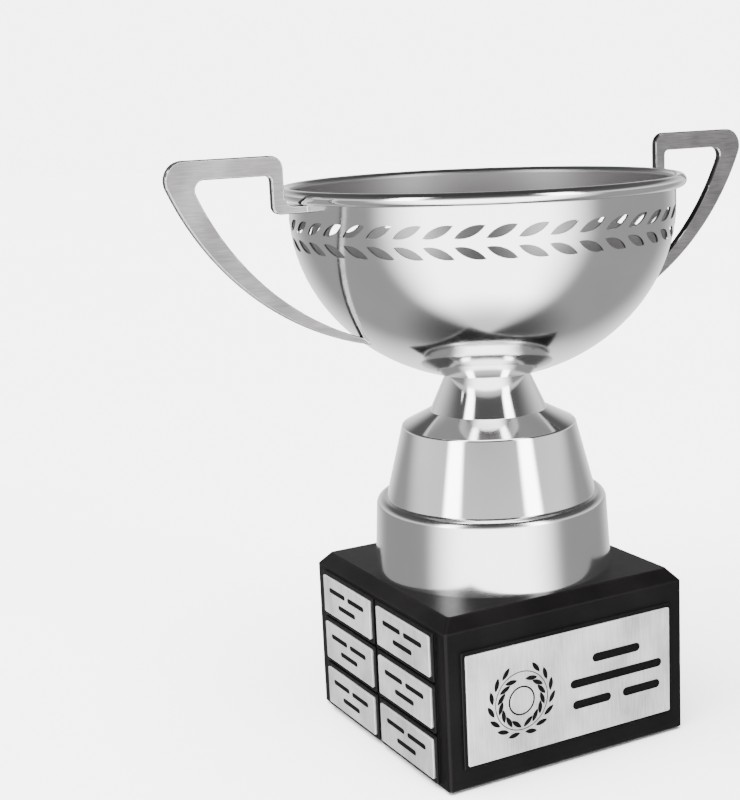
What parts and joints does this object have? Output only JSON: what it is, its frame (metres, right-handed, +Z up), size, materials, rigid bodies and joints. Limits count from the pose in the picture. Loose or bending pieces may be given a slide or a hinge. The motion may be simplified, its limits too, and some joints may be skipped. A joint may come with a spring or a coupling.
{
  "type": "cup trophy",
  "caption": "Two-handled silver cup trophy with a pierced leaf band, stacked spun risers and a square black wooden plinth carrying blank name plates.",
  "frame": {"origin": "middle of the underside, on the floor under the cup's axis", "axes": "+Z up along the cup's axis; +X towards the right handle; -Y is the front, the side with the large plate"},
  "size_m": [0.3082, 0.19, 0.2833],
  "materials": {
    "polished_metal": "mirror polished silver plate with fine spinning marks",
    "satin_metal": "satin silver plate",
    "plate_metal": "brushed along the height",
    "zinc_steel": "bright zinc plating",
    "black_gloss": "gloss black backing",
    "black_wood": "black lacquer over wood, low sheen",
    "raw_wood": "plain plywood disc",
    "felt": "dark felt"
  },
  "bodies": {
    "root": {"bowl": "polished_metal", "handle_left": "satin_metal", "handle_right": "satin_metal", "neck_riser": "polished_metal", "lower_riser": "polished_metal", "base_drum": "satin_metal", "drum_locating_disc": "raw_wood", "tie_rod": "zinc_steel", "bowl_washer": "zinc_steel", "bowl_cap_nut": "polished_metal", "plinth_washer": "zinc_steel", "plinth_nut": "zinc_steel", "plinth": "black_wood", "felt_pad": "felt", "main_plate_backing": "black_gloss", "main_plate": "plate_metal", "left_plate_backing_1": "black_gloss", "left_name_plate_1": "plate_metal", "left_plate_backing_2": "black_gloss", "left_name_plate_2": "plate_metal", "left_plate_backing_3": "black_gloss", "left_name_plate_3": "plate_metal", "left_plate_backing_4": "black_gloss", "left_name_plate_4": "plate_metal", "left_plate_backing_5": "black_gloss", "left_name_plate_5": "plate_metal", "left_plate_backing_6": "black_gloss", "left_name_plate_6": "plate_metal", "right_plate_backing_1": "black_gloss", "right_name_plate_1": "plate_metal", "right_plate_backing_2": "black_gloss", "right_name_plate_2": "plate_metal", "right_plate_backing_3": "black_gloss", "right_name_plate_3": "plate_metal", "right_plate_backing_4": "black_gloss", "right_name_plate_4": "plate_metal", "right_plate_backing_5": "black_gloss", "right_name_plate_5": "plate_metal", "right_plate_backing_6": "black_gloss", "right_name_plate_6": "plate_metal"}
  },
  "joints": []
}
